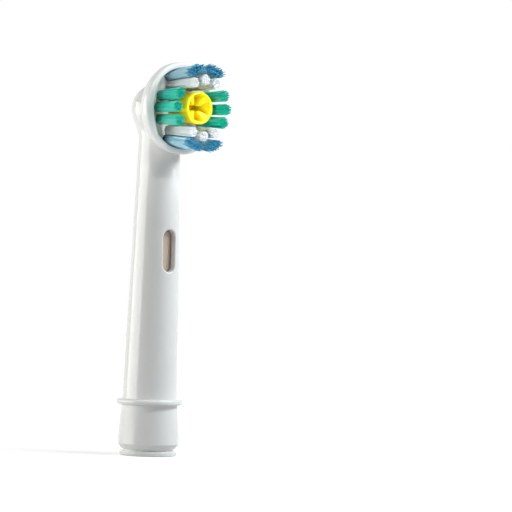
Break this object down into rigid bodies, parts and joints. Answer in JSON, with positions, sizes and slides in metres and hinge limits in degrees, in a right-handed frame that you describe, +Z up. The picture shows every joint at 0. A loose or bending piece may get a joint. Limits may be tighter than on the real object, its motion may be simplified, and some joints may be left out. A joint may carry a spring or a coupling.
{
  "type": "electric toothbrush head",
  "caption": "Upright replacement toothbrush head: a round swinging bristle disc with a soft polishing cup, on a tapered hollow neck with a socketed foot for a powered handle.",
  "frame": {"origin": "centre of the handle socket's mouth, in the plane that the foot stands on", "axes": "+Z up the neck along the handle axis, -Y the way the bristles face, X across the head"},
  "size_m": [0.0174, 0.0208, 0.0747],
  "materials": {
    "housing_white": "glossy moulded white",
    "insert_white": "satin moulded white",
    "carrier_white": "glossy moulded white",
    "shaft_cream": "matte moulded off-white",
    "pin_steel": "turned steel",
    "polisher_yellow": "soft smooth elastomer",
    "anchor_brass": "punched strip",
    "filament_green": "extruded filament",
    "filament_white": "translucent extruded filament",
    "filament_blue": "extruded filament"
  },
  "bodies": {
    "neck": {"neck_housing": "housing_white", "base_insert": "insert_white", "axle_pin": "pin_steel"},
    "drive": {"drive_shaft": "shaft_cream", "crank_pin": "pin_steel"},
    "brush_disc": {"bristle_carrier": "carrier_white", "polishing_cup": "polisher_yellow", "green_tuft_1": "filament_green", "green_tuft_2": "filament_green", "green_tuft_3": "filament_green", "green_tuft_4": "filament_green", "green_tuft_5": "filament_green", "green_tuft_6": "filament_green", "white_tuft_1": "filament_white", "white_tuft_2": "filament_white", "white_tuft_3": "filament_white", "white_tuft_4": "filament_white", "white_tuft_5": "filament_white", "white_tuft_6": "filament_white", "blue_tuft_1": "filament_blue", "blue_tuft_2": "filament_blue", "blue_tuft_3": "filament_blue", "blue_tuft_4": "filament_blue", "tuft_anchors": "anchor_brass"}
  },
  "joints": [
    {"name": "drive_turn", "type": "hinge", "parent": "neck", "child": "drive", "pos_m": [0, 0, 0.01252], "axis": [0, 0, 1], "range_deg": [-30, 30]},
    {"name": "disc_swing", "type": "hinge", "parent": "neck", "child": "brush_disc", "pos_m": [0, 0, 0.066], "axis": [0, -1, 0], "range_deg": [-22.5, 22.5]}
  ],
  "couplings": [
    {"joint": "drive_turn", "follows": "disc_swing", "ratio": 1.3333}
  ]
}
